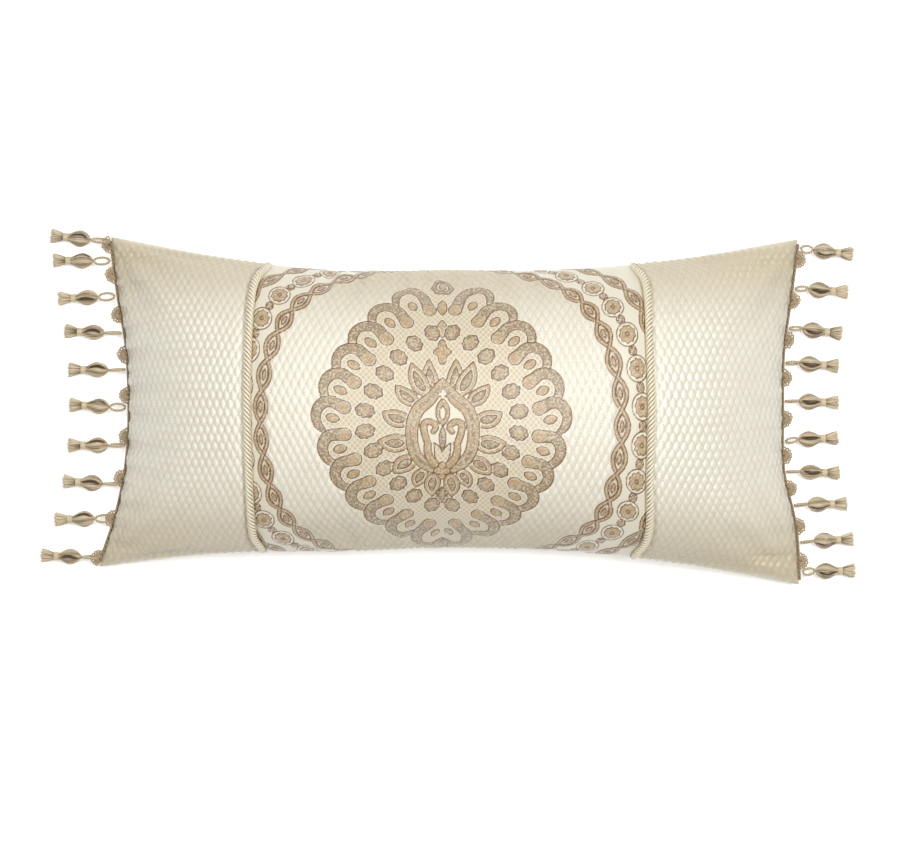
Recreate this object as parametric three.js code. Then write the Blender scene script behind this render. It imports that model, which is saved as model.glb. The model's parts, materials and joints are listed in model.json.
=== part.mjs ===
// A boudoir throw pillow, 22 x 11 inches before it is filled, lying on its back.
// +X is the pillow's right, +Y its top edge and +Z its embroidered front. The origin is on the
// surface it lies on, under the middle of the whole object. All lengths are millimetres.
//
// A cloth point is named by (u, v): u runs -1..1 from the left to the right seam and v runs -1..1
// from the bottom to the top seam, both in proportion to the flat cloth.
import * as THREE from "three";

// ---- Driving dimensions ----
const FLAT_WIDTH = 559; // the cover before it is filled
const FLAT_HEIGHT = 279;
const CENTRE_PANEL_WIDTH = 305; // between the two cords, on the flat cloth

// The filled cover's outline, seen from above. A stuffed cover never sits quite square.
const CORNER = {
  topLeft: [-262, 133],
  topRight: [267, 131],
  bottomLeft: [-271, -121],
  bottomRight: [268, -135],
};
const MIDDLE_X = -3; // the centre panel's own middle line, at its top and bottom
const MIDDLE_BOW = 5; // how far that line bows to the left half way up
// How far each seam pulls in from a straight line, at even steps from its left or bottom corner.
const SAG = {
  left: [0, 12.7, 19.2, 19.4, 15.7, 7.3, 0],
  right: [0, 3, 12.4, 13, 12.2, 6.1, 0],
  top: [0, 17.3, 26.8, 26.5, 25.4, 16.8, 0],
  bottom: [0, 13.6, 18.1, 23.8, 23.1, 15.4, 0],
};
const CREST_ANGLE = 0.5; // how much the cloth's spacing closes up towards the side seams
const SEAM_SHRINK = 0.06; // how much more the long seams close up between the cords

const FRONT_RISE = 80; // of the front above the seam plane, at the middle
const BACK_DROP = 60; // of the back below it, before the table flattens it
const SEAM_HEIGHT = { middle: 42, side: 14, corner: 11 };
const SEAM_ARCH_POWER = 2.3;
const END_POWER = 2.6; // the long profile is (1 - |u|^END_POWER)^END_ROUND
const END_ROUND = 0.6;

const CLOTH = 1.2; // quilted cover cloth
const TICKING = 0.6; // the insert's own shell
const SEAM_GAP = 0.15; // half the gap between the front's and the back's raw rims
const TRIM_GAP = 0.8; // the same where the fringe tape passes between them
const INSERT_INSET = 6; // from the cover's outside to the insert's
const FILL_INSET = INSERT_INSET + TICKING + 0.3;

const CORD_RADIUS = 3.2;
const CORD_LIFT = 4.1; // from the cloth to the cord's middle
const CORD_REACH = 0.97; // the share of the front's height that a cord spans
const LIP = { thick: 0.5, top: -0.5, depth: 4.2, reach: 0.94 };

const TAPE = { flange: 2.2, thin: 0.3, thick: 0.6, width: 2.5, start: 0.6, reach: 0.975 };
const SCALLOP = { half: 6, rise: 5.8, steps: 6 };

const PIVOT_OUT = 1.6; // from the tape's face to the point that a tassel swings about
const LOOP = { gap: 0.35, half: 2.2, strand: 0.6, sides: 4, steps: 12 };
const TASSEL_AXIS_HEIGHT = 7.1;
const TASSEL_GAP = 0.4;
const TASSEL_SIDES = 8;
// A tassel's outline from the loop end: distance along it, radius.
const TASSEL_OUTLINE = [
  [0, 0], [0.2, 1.3], [3, 4.9], [8, 6.7], [13.5, 5.2], [18, 2.7], [21.5, 2.5], [31, 6.4], [31.3, 0],
];
// Where each tassel leaves its side seam, measured on the flat cloth from the seam's middle, how
// many degrees it leans towards the top edge, and how far its loop is turned about its own line.
// The reach is how far past its pivot a loop ends.
const TASSELS = {
  left: {
    reach: 11.4,
    stations: [136, 119, 89, 58, 27, -5, -37, -70, -99, -132],
    lean: [6, 1, -2, 2, 0, 3, 0, 3, -1, 2],
    turn: [55, 10, 0, 75, 80, 15, 70, 80, 10, 75],
  },
  right: {
    reach: 8.4,
    stations: [132, 100, 68, 40, 9, -23, -48, -75, -105, -129],
    lean: [-6, -4, -6, -4, -2, 3, -2, 1, 3, 1],
    turn: [5, 50, 60, 65, 80, 45, 80, 70, 75, 20],
  },
};

const DEGREE = Math.PI / 180;
const SEAM_U = CENTRE_PANEL_WIDTH / FLAT_WIDTH; // the cords' u

// ---- Materials ----
const cloth = (color, roughness) => new THREE.MeshStandardMaterial({ color, roughness, metalness: 0 });
const MATERIAL = {
  satin: cloth("#e9e4d0", 0.45),
  damask: cloth("#ddd0b8", 0.5),
  backing: cloth("#e2dcc6", 0.5),
  cord: cloth("#eae2cb", 0.5),
  tape: cloth("#a98f6f", 0.7),
  floss: cloth("#a8977a", 0.4),
  ticking: cloth("#f4f3ee", 0.9),
  fibre: cloth("#fbfbf8", 1),
};

// ---- The filled form ----
const mix = (a, b, t) => a + (b - a) * t;

/** A smooth curve through even stops over t = -1..1. */
function along(stops, t) {
  const last = stops.length - 1;
  const place = Math.min(Math.max(((t + 1) / 2) * last, 0), last - 1e-9);
  const k = Math.floor(place);
  const f = place - k;
  const a = stops[k];
  const b = stops[k + 1];
  const before = k > 0 ? stops[k - 1] : 2 * a - b;
  const after = k + 2 <= last ? stops[k + 2] : 2 * b - a;
  const slopeA = (b - before) / 2;
  const slopeB = (after - a) / 2;
  return a + slopeA * f + (3 * (b - a) - 2 * slopeA - slopeB) * f * f + (slopeA + slopeB - 2 * (b - a)) * f ** 3;
}

/** The x of a side seam at height v: side is -1 for the left seam and 1 for the right. */
function sideSeam(side, v) {
  const [low, high, sag] =
    side < 0
      ? [CORNER.bottomLeft[0], CORNER.topLeft[0], SAG.left]
      : [CORNER.bottomRight[0], CORNER.topRight[0], SAG.right];
  return mix(low, high, (v + 1) / 2) - side * along(sag, v);
}

/** The y of a long seam at u: side is -1 for the bottom seam and 1 for the top. */
function longSeam(side, u) {
  const [left, right, sag] =
    side < 0
      ? [CORNER.bottomLeft[1], CORNER.bottomRight[1], SAG.bottom]
      : [CORNER.topLeft[1], CORNER.topRight[1], SAG.top];
  return mix(left, right, (u + 1) / 2) - side * along(sag, u);
}

/** v as a share of the half height in plan: the cloth's spacing closes up as the sides turn down. */
const crosswise = (u, v) => mix(Math.sin((v * Math.PI) / 2), v, Math.abs(u) ** 3);

/** u as a share of the half width in plan. */
const lengthwise = (u, v) =>
  mix(
    Math.sin(CREST_ANGLE * u) / Math.sin(CREST_ANGLE),
    u * (1 - SEAM_SHRINK * (1 - u * u)),
    v * v,
  );

/** The height of the seam plane over the table. */
const seamHeight = (u, v) =>
  mix(SEAM_HEIGHT.middle, SEAM_HEIGHT.side, Math.abs(u) ** SEAM_ARCH_POWER) -
  (SEAM_HEIGHT.side - SEAM_HEIGHT.corner) * u * u * v * v;

/** A point of the cover's front (face 1) or back (face -1), or of a layer inset under it. */
function skin(u, v, inset = 0, face = 1, gap = SEAM_GAP) {
  const share = lengthwise(u, v);
  const across = crosswise(u, v);
  const edgeX = sideSeam(u < 0 ? -1 : 1, v) - (u < 0 ? -inset : inset);
  const low = longSeam(-1, u) + inset;
  const high = longSeam(1, u) - inset;
  const dome =
    (1 - Math.abs(u) ** END_POWER) ** END_ROUND * Math.sqrt(Math.max(0, 1 - across * across));
  const seam = seamHeight(u, v);
  const z =
    face > 0
      ? seam + gap + (FRONT_RISE - inset) * dome
      : Math.max(inset, seam - gap - (BACK_DROP - inset) * dome);
  const middle = MIDDLE_X - MIDDLE_BOW * (1 - v * v);
  return new THREE.Vector3(
    middle + Math.abs(share) * (edgeX - middle),
    (low + high) / 2 + (across * (high - low)) / 2,
    z,
  );
}

/** The gap at a rim point: wider along the side seams, where the fringe tape passes. */
const rimGap = (u) => (Math.abs(u) > 1 - 1e-6 ? TRIM_GAP : SEAM_GAP);

// ---- Solids ----
function geometry(points, faces) {
  const made = new THREE.BufferGeometry();
  made.setAttribute("position", new THREE.Float32BufferAttribute(points.flatMap((p) => p.toArray()), 3));
  made.setIndex(faces.flat());
  made.computeVertexNormals();
  return made;
}

/** A closed slab between two grids of points over the same (us, vs), the first one uppermost. */
function slab(us, vs, upper, lower) {
  const columns = us.length;
  const rows = vs.length;
  const count = columns * rows;
  const points = [upper, lower].flatMap((at) => vs.flatMap((v) => us.map((u) => at(u, v))));
  const faces = [];
  const quad = (a, b, c, d) => faces.push([a, b, c], [a, c, d]);
  for (let j = 0; j + 1 < rows; j++)
    for (let i = 0; i + 1 < columns; i++) {
      const a = j * columns + i;
      quad(a, a + 1, a + 1 + columns, a + columns);
      quad(count + a, count + a + columns, count + a + 1 + columns, count + a + 1);
    }
  const rim = [
    ...us.slice(1).map((_, i) => i),
    ...vs.slice(1).map((_, j) => (j + 1) * columns - 1),
    ...us.slice(1).map((_, i) => count - 1 - i),
    ...vs.slice(1).map((_, j) => (rows - 1 - j) * columns),
  ];
  rim.forEach((a, k) => {
    const b = rim[(k + 1) % rim.length];
    quad(a, a + count, b + count, b);
  });
  return geometry(points, faces);
}

/** A solid through rings of points that turn left as seen looking back along it. */
function loft(rings, outline, closed = false) {
  const sides = rings[0].length;
  const faces = [];
  const last = closed ? rings.length : rings.length - 1;
  for (let k = 0; k < last; k++)
    for (let i = 0; i < sides; i++) {
      const a = k * sides + i;
      const b = k * sides + ((i + 1) % sides);
      const [c, d] = [a, b].map((n) => (n + sides) % (rings.length * sides));
      faces.push([a, b, d], [a, d, c]);
    }
  if (!closed) {
    const end = (rings.length - 1) * sides;
    for (const corners of THREE.ShapeUtils.triangulateShape(outline, [])) {
      const [a, b, c] = corners.sort((p, q) => p - q);
      faces.push([a, c, b], [end + a, end + b, end + c]);
    }
  }
  return geometry(rings.flat(), faces);
}

const circle = (radius, sides) =>
  Array.from({ length: sides }, (_, i) => {
    const a = (2 * Math.PI * i) / sides;
    return new THREE.Vector2(radius * Math.cos(a), radius * Math.sin(a));
  });

const spaced = (from, to, steps) => Array.from({ length: steps + 1 }, (_, i) => mix(from, to, i / steps));

// Columns crowd towards the side seams, where the form turns down fastest.
const towardsSide = (from, steps) => spaced(0, 1, steps).map((t) => mix(from, 1, 1 - (1 - t) ** 1.7));

// The cover's rows. The cords' lips are cut at the same ones, so that both bend alike.
const LIP_ROWS = spaced(-LIP.reach, LIP.reach, 12);
const ROWS = [-1, ...LIP_ROWS, 1];

const root = new THREE.Group();

function add(name, shape, material, parent = root) {
  const mesh = new THREE.Mesh(shape, material);
  mesh.name = name;
  parent.add(mesh);
  return mesh;
}

// ---- Cover: three front panels, sewn at the cords, and one back panel ----
function cover() {
  const halfGap = TRIM_GAP / (FLAT_WIDTH / 2);
  const side = towardsSide(SEAM_U + halfGap, 7);
  const centre = spaced(-SEAM_U + halfGap, SEAM_U - halfGap, 12);
  const front = (inset) => (u, v) => skin(u, v, inset, 1, rimGap(u));
  const back = (inset) => (u, v) => skin(u, v, inset, -1, rimGap(u));
  add("front_centre_panel", slab(centre, ROWS, front(0), front(CLOTH)), MATERIAL.damask);
  add("front_right_panel", slab(side, ROWS, front(0), front(CLOTH)), MATERIAL.satin);
  const mirrored = side.map((u) => -u).reverse();
  add("front_left_panel", slab(mirrored, ROWS, front(0), front(CLOTH)), MATERIAL.satin);
  const whole = [...mirrored, ...centre, ...side];
  add("back_panel", slab(whole, ROWS, back(CLOTH), back(0)), MATERIAL.backing);
}

// ---- Insert: a ticking shell in two halves, and the fibre in it ----
function insert() {
  const side = towardsSide(0.5, 5);
  const columns = [...side.map((u) => -u).reverse(), -0.25, 0, 0.25, ...side];
  const rows = spaced(-1, 1, 10);
  const layer = (inset, face) => (u, v) => skin(u, v, inset, face);
  const inner = INSERT_INSET + TICKING;
  const front = slab(columns, rows, layer(INSERT_INSET, 1), layer(inner, 1));
  const back = slab(columns, rows, layer(inner, -1), layer(INSERT_INSET, -1));
  add("insert_front_ticking", front, MATERIAL.ticking);
  add("insert_back_ticking", back, MATERIAL.ticking);
  add("fibre_filling", slab(columns, rows, layer(FILL_INSET, 1), layer(FILL_INSET, -1)), MATERIAL.fibre);
}

// ---- Twisted cords over the two front seams, each on a woven lip that is sewn into its seam ----
function seamCord(side, name) {
  const u = side * SEAM_U;
  const middle = new THREE.CatmullRomCurve3(
    spaced(-CORD_REACH, CORD_REACH, 22).map((v) => skin(u, v, -CORD_LIFT)),
  );
  const section = new THREE.Shape(circle(CORD_RADIUS, 8));
  const tube = new THREE.ExtrudeGeometry(section, { steps: 30, extrudePath: middle, bevelEnabled: false });
  add(`twisted_cord_${name}`, tube, MATERIAL.cord);

  const half = LIP.thick / FLAT_WIDTH;
  const corners = [[-half, LIP.depth], [half, LIP.depth], [half, LIP.top], [-half, LIP.top]];
  const rings = LIP_ROWS.map((v) => corners.map(([du, inset]) => skin(u + du, v, inset)).reverse());
  const outline = corners.map(([du, inset]) => new THREE.Vector2(du, -inset)).reverse();
  add(`cord_lip_${name}`, loft(rings, outline), MATERIAL.tape);
}

// ---- Fringe tape: a flange caught in the side seam, and a scalloped edge outside it ----
/** The stations halfway between neighbouring tassels, where the tape's scallops are. */
const scallops = (stations) => stations.slice(1).map((s, i) => (s + stations[i]) / 2);

function tapeWidth(station, centres) {
  const near = Math.min(...centres.map((c) => Math.abs(station - c))) / SCALLOP.half;
  return TAPE.width + (near < 1 ? SCALLOP.rise * Math.sqrt(1 - near * near) : 0);
}

function fringeTape(side, name) {
  const centres = scallops(TASSELS[name].stations);
  const end = (TAPE.reach * FLAT_HEIGHT) / 2;
  const inScallops = centres.flatMap((c) =>
    spaced(-1, 1, SCALLOP.steps).map((t) => c + t * SCALLOP.half * 0.999),
  );
  const stations = [-end, end, ...inScallops].sort((a, b) => a - b);
  const profile = (width) => [
    [-TAPE.flange, -TAPE.thin], [TAPE.start, -TAPE.thin], [TAPE.start, -TAPE.thick], [width, -TAPE.thick],
    [width, TAPE.thick], [TAPE.start, TAPE.thick], [TAPE.start, TAPE.thin], [-TAPE.flange, TAPE.thin],
  ];
  const order = (ring) => (side > 0 ? ring.reverse() : ring);
  const rings = stations.map((s) => {
    const v = s / (FLAT_HEIGHT / 2);
    const rim = skin(side, v, 0, 1, 0);
    return order(
      profile(TAPE.start + tapeWidth(s, centres)).map(
        ([out, z]) => new THREE.Vector3(rim.x + side * out, rim.y, rim.z + z),
      ),
    );
  });
  const outline = order(profile(TAPE.start + TAPE.width).map(([out, z]) => new THREE.Vector2(out, z)));
  add(`fringe_tape_${name}`, loft(rings, outline), MATERIAL.tape);
}

// ---- Tassels: each hangs on a loop of cord and swings about the tape's edge ----
/** A closed cord loop in the xy plane, from its pivot end at x = gap - PIVOT_OUT. */
function loopShape(length) {
  const middle = length / 2;
  const section = circle(LOOP.strand, LOOP.sides);
  const rings = Array.from({ length: LOOP.steps }, (_, k) => {
    const a = (2 * Math.PI * k) / LOOP.steps;
    const centre = new THREE.Vector3(
      -Math.cos(a) * (middle - LOOP.strand) + middle,
      Math.sin(a) * (LOOP.half - LOOP.strand),
      0,
    );
    const out = new THREE.Vector3(
      -Math.cos(a) * (LOOP.half - LOOP.strand),
      Math.sin(a) * (middle - LOOP.strand),
      0,
    ).normalize();
    return section.map((p) => centre.clone().addScaledVector(out, p.x).setZ(p.y));
  });
  return loft(rings, null, true);
}

const tasselShape = new THREE.LatheGeometry(
  TASSEL_OUTLINE.map(([along, radius]) => new THREE.Vector2(radius, along)),
  TASSEL_SIDES,
).rotateZ(-Math.PI / 2);

function tassel(side, name, index) {
  const { stations, lean, turn, reach } = TASSELS[name];
  const rim = skin(side, stations[index] / (FLAT_HEIGHT / 2), 0, 1, 0);
  const number = String(index + 1).padStart(2, "0");
  const swing = new THREE.Group();
  swing.name = `pivot_${name}_${number}`;
  swing.position.set(rim.x + side * (TAPE.start + TAPE.width + PIVOT_OUT), rim.y, rim.z);
  swing.rotation.z = side > 0 ? lean[index] * DEGREE : Math.PI - lean[index] * DEGREE;
  root.add(swing);

  const drop = rim.z - TASSEL_AXIS_HEIGHT;
  const length = Math.hypot(reach, drop);
  const start = LOOP.gap - PIVOT_OUT;
  const slope = new THREE.Group();
  slope.rotation.y = Math.atan2(drop, reach);
  swing.add(slope);
  const loop = add(`loop_${name}_${number}`, loopShape(length - start), MATERIAL.floss, slope);
  loop.position.x = start;
  loop.rotation.x = turn[index] * DEGREE;

  const body = add(`tassel_${name}_${number}`, tasselShape, MATERIAL.floss, swing);
  body.position.set(reach + TASSEL_GAP, 0, -drop);
}

cover();
insert();
for (const [side, name] of [[-1, "left"], [1, "right"]]) {
  seamCord(side, name);
  fringeTape(side, name);
  TASSELS[name].stations.forEach((_, index) => tassel(side, name, index));
}


// The origin goes under the middle of the whole object.
const middle = new THREE.Box3().setFromObject(root, true).getCenter(new THREE.Vector3());
root.position.set(-middle.x, -middle.y, 0);

export default root;
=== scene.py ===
"""The looks of a tasselled boudoir pillow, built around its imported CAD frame.

The cover is a cloth that is cut flat, held at its seams where the frame has them and blown up until it
settles. Its front panels are then sampled finely enough to carry their quilting and embroidery as geometry.
Lengths are millimetres until a mesh is made. A cloth point is (s, t), its place on the flat cover from the
cover's middle, or (u, v), the same as shares of the half width and half height.
"""
import json
import math

import bpy
import numpy as np
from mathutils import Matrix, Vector


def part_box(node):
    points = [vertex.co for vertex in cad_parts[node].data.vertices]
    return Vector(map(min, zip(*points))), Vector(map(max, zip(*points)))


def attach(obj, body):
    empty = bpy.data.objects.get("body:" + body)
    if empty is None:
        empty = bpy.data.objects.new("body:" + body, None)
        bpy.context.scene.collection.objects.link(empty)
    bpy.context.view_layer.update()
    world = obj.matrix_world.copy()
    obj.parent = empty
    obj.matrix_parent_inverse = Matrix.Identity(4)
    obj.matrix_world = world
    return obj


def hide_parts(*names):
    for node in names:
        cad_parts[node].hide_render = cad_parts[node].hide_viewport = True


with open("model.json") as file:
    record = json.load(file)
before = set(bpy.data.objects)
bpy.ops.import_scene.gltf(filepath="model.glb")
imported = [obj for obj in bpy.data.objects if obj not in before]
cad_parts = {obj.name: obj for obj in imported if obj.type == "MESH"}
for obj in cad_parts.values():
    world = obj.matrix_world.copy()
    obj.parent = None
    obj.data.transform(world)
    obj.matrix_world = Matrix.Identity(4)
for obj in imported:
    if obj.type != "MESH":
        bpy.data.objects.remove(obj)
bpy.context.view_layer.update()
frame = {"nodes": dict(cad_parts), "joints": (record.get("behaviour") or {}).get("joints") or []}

MM = 0.001
TINY = 1e-9
PILLOW = "pillow"
UP = np.array([0, 0, 1.0])

# ---- Driving dimensions, as the frame has them ----
FLAT = np.array([559.0, 279.0])
HALF = FLAT / 2
CENTRE_WIDTH = 305
SEAM_U = CENTRE_WIDTH / FLAT[0]
LEFT_LOW, LEFT_HIGH = (np.array(c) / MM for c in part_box("front_left_panel"))
RIGHT_LOW, RIGHT_HIGH = (np.array(c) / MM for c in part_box("front_right_panel"))
TOP_CORNERS_IN = (9, 1)
CORNER = {
    "bottom": (LEFT_LOW[:2], np.array([RIGHT_HIGH[0], RIGHT_LOW[1]])),
    "top": (
        np.array([LEFT_LOW[0] + TOP_CORNERS_IN[0], LEFT_HIGH[1]]),
        np.array([RIGHT_HIGH[0] - TOP_CORNERS_IN[1], RIGHT_HIGH[1]]),
    ),
}
MIDDLE_IN = -1.5
MIDDLE_X = (LEFT_LOW[0] + RIGHT_HIGH[0]) / 2 + MIDDLE_IN
SAG = {
    "left": [0, 12.7, 19.2, 19.4, 15.7, 7.3, 0],
    "right": [0, 3, 12.4, 13, 12.2, 6.1, 0],
    "top": [0, 17.3, 26.8, 26.5, 25.4, 16.8, 0],
    "bottom": [0, 13.6, 18.1, 23.8, 23.1, 15.4, 0],
}
MIDDLE_BOW = 5
CREST_ANGLE = 0.5
SEAM_SHRINK = 0.06
FRONT_RISE = 80
BACK_DROP = 60
SEAM_HEIGHT = {"middle": 42, "side": 14, "corner": 11}
SEAM_ARCH_POWER = 2.3
END_POWER, END_ROUND = 2.6, 0.6
SEAM_GAP = 0.15
CAD_SHIFT_Y = -2.9

# ---- The cloth's own behaviour ----
CELLS = (112, 56)
SETTLE_STEPS = 150
SETTLE_PASSES = 5
PRESSURE = 0.06
DAMPING = 0.92
UNEVEN_START = 0.3
MOST_MOVE = 9
CALM_EDGE = 0.3
# How hard a stretched thread pulls, and the share of it with which a slack one pushes back.
THREAD_PULL, SHEAR_PULL, BEND_PULL = (0.9, 0.6), (0.3, 0.3), (0.12, 1)


def mix(a, b, share):
    return a + (b - a) * share


def smoothstep(low, high, x):
    t = np.clip((x - low) / (high - low), 0, 1)
    return t * t * (3 - 2 * t)


def along(stops, t):
    """A smooth curve through even stops over t = -1..1."""
    stops = np.array(stops, float)
    last = len(stops) - 1
    place = np.clip((np.asarray(t, float) + 1) / 2 * last, 0, last - TINY)
    k = place.astype(int)
    f = place - k
    padded = np.concatenate([[2 * stops[0] - stops[1]], stops, [2 * stops[-1] - stops[-2]]])
    a, b = padded[k + 1], padded[k + 2]
    slope_a, slope_b = (b - padded[k]) / 2, (padded[k + 3] - a) / 2
    bend = 3 * (b - a) - 2 * slope_a - slope_b
    return a + slope_a * f + bend * f**2 + (slope_a + slope_b - 2 * (b - a)) * f**3


def form(u, v, face):
    """The frame's filled form: a point of the front (face 1) or the back (face -1)."""
    across = mix(np.sin(v * np.pi / 2), v, np.abs(u) ** 3)
    crest = np.sin(CREST_ANGLE * u) / math.sin(CREST_ANGLE)
    share = mix(crest, u * (1 - SEAM_SHRINK * (1 - u * u)), v * v)
    (low_left, low_right), (high_left, high_right) = CORNER["bottom"], CORNER["top"]
    left = mix(low_left[0], high_left[0], (v + 1) / 2) + along(SAG["left"], v)
    right = mix(low_right[0], high_right[0], (v + 1) / 2) - along(SAG["right"], v)
    low = mix(low_left[1], low_right[1], (u + 1) / 2) + along(SAG["bottom"], u)
    high = mix(high_left[1], high_right[1], (u + 1) / 2) - along(SAG["top"], u)
    ends = np.maximum(1 - np.abs(u) ** END_POWER, 0) ** END_ROUND
    dome = ends * np.sqrt(np.maximum(0, 1 - across**2))
    arch = mix(SEAM_HEIGHT["middle"], SEAM_HEIGHT["side"], np.abs(u) ** SEAM_ARCH_POWER)
    seam = arch - (SEAM_HEIGHT["side"] - SEAM_HEIGHT["corner"]) * u * u * v * v
    front = seam + SEAM_GAP + FRONT_RISE * dome
    back = np.maximum(0, seam - SEAM_GAP - BACK_DROP * dome)
    middle = MIDDLE_X - MIDDLE_BOW * (1 - v * v)
    x = middle + np.abs(share) * (np.where(u < 0, left, right) - middle)
    y = (low + high) / 2 + across * (high - low) / 2
    return np.stack([x, y, front if face > 0 else back], -1)


# ---- Cloth simulation: thread lengths, shear and bending against a pressure from inside ----
def grid_normals(points):
    normal = np.cross(np.gradient(points, axis=1), np.gradient(points, axis=0))
    return normal / np.maximum(np.linalg.norm(normal, axis=-1, keepdims=True), TINY)


def thread_batches(rows, columns, down, over):
    """Pairs of grid points, split in two so that no point is in a batch twice."""
    i, j = np.meshgrid(np.arange(rows), np.arange(columns), indexing="ij")
    inside = (i + down < rows) & (j + over < columns) & (j + over >= 0)
    i, j = i[inside], j[inside]
    turn = (i // down if down else j // over) % 2
    return [((i[turn == k], j[turn == k]), (i[turn == k] + down, j[turn == k] + over)) for k in (0, 1)]


def pull(points, free, start, end, rest, stiff, slack):
    """Moves the ends of threads towards their rest length; a slack thread pushes back only a little."""
    line = points[end] - points[start]
    length = np.linalg.norm(line, axis=-1, keepdims=True)
    firm = np.where(length > rest, stiff, stiff * slack)
    share = np.maximum(free[start] + free[end], TINY)
    move = firm * (length - rest) / (length * share) * line
    points[start] += free[start] * move
    points[end] -= free[end] * move


def settled(face):
    """The cover's front or back as cut flat, sewn to the frame's seams and filled."""
    columns, rows = CELLS[0] + 1, CELLS[1] + 1
    u, v = np.meshgrid(np.linspace(-1, 1, columns), np.linspace(-1, 1, rows))
    held = form(u, v, face)
    width, height = FLAT / CELLS
    slant = math.hypot(width, height)
    threads = []
    for down, over, rest, firmness in (
        (0, 1, width, THREAD_PULL),
        (1, 0, height, THREAD_PULL),
        (1, 1, slant, SHEAR_PULL),
        (1, -1, slant, SHEAR_PULL),
        (0, 2, 2 * width, BEND_PULL),
        (2, 0, 2 * height, BEND_PULL),
    ):
        for start, end in thread_batches(rows, columns, down, over):
            threads.append((start, end, rest, *firmness))
    free = np.ones((rows, columns, 1))
    free[[0, -1]] = 0
    free[:, [0, -1]] = 0
    rng = np.random.default_rng(7)
    points = held + free * rng.normal(0, UNEVEN_START, held.shape)
    speed = np.zeros_like(points)
    for _ in range(SETTLE_STEPS):
        speed = DAMPING * speed + face * PRESSURE * grid_normals(points)
        moved = points + free * speed
        for _ in range(SETTLE_PASSES):
            for start, end, rest, stiff, slack in threads:
                pull(moved, free, start, end, rest, stiff, slack)
            moved[..., 2] = np.maximum(moved[..., 2], 0)
        speed = moved - points
        points = moved
    change = (points - held) * smoothstep(0, CALM_EDGE, 1 - np.abs(v))[..., None]
    size = np.linalg.norm(change, axis=-1, keepdims=True)
    return held + change * MOST_MOVE * np.tanh(size / MOST_MOVE) / np.maximum(size, TINY)


def cubic_weights(places, count):
    """A matrix that reads a smooth curve through count even stops at places of -1..1."""
    weights = np.zeros((len(places), count))
    spot = np.clip((places + 1) / 2 * (count - 1), 0, count - 1 - TINY)
    k = spot.astype(int)
    f = spot - k
    parts = (
        (-1, (-f + 2 * f**2 - f**3) / 2),
        (0, (2 - 5 * f**2 + 3 * f**3) / 2),
        (1, (f + 4 * f**2 - 3 * f**3) / 2),
        (2, (-(f**2) + f**3) / 2),
    )
    for shift, part in parts:
        np.add.at(weights, (np.arange(len(places)), np.clip(k + shift, 0, count - 1)), part)
    return weights


def surface(grid, us, vs):
    """Points of a settled cover at every (u, v) of us and vs."""
    rows, columns = grid.shape[:2]
    across = cubic_weights(np.asarray(vs, float), rows)
    lengthwise = cubic_weights(np.asarray(us, float), columns)
    return np.einsum("ai,ijk,bj->abk", across, grid, lengthwise)


# ---- Meshes ----
def grid_faces(rows, columns, flip=False):
    index = np.arange(rows * columns).reshape(rows, columns)
    quads = np.stack([index[:-1, :-1], index[:-1, 1:], index[1:, 1:], index[1:, :-1]], -1).reshape(-1, 4)
    return quads[:, ::-1] if flip else quads


def new_mesh(name, points, faces, values=None):
    """A smooth mesh from points in millimetres, with a float attribute for each named value."""
    mesh = bpy.data.meshes.new(name)
    mesh.vertices.add(len(points))
    mesh.vertices.foreach_set("co", (np.asarray(points, np.float32) * MM).ravel())
    faces = np.asarray(faces)
    sides = faces.shape[1]
    mesh.loops.add(faces.size)
    mesh.loops.foreach_set("vertex_index", faces.ravel().astype(np.int32))
    mesh.polygons.add(len(faces))
    mesh.polygons.foreach_set("loop_start", np.arange(0, faces.size, sides, dtype=np.int32))
    mesh.polygons.foreach_set("use_smooth", np.ones(len(faces), bool))
    mesh.update(calc_edges=True)
    for key, value in (values or {}).items():
        attribute = mesh.attributes.new(key, "FLOAT", "POINT")
        attribute.data.foreach_set("value", np.asarray(value, np.float32).ravel())
    return mesh


def piece(name, mesh, material, slot, body, *nodes):
    """An object that rides on a body and stands for CAD nodes."""
    made = bpy.data.objects.new(name, mesh)
    bpy.context.scene.collection.objects.link(made)
    if not mesh.materials:
        mesh.materials.append(material)
    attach(made, body)
    if nodes:
        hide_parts(*nodes)
    return made


# ---- Materials ----
def srgb(red, green, blue):
    """A colour as a screen shows it, 0..255, in the shader's linear values."""
    values = np.array([red, green, blue]) / 255
    linear = np.where(values <= 0.04045, values / 12.92, ((values + 0.055) / 1.055) ** 2.4)
    return (*linear.tolist(), 1.0)


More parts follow.
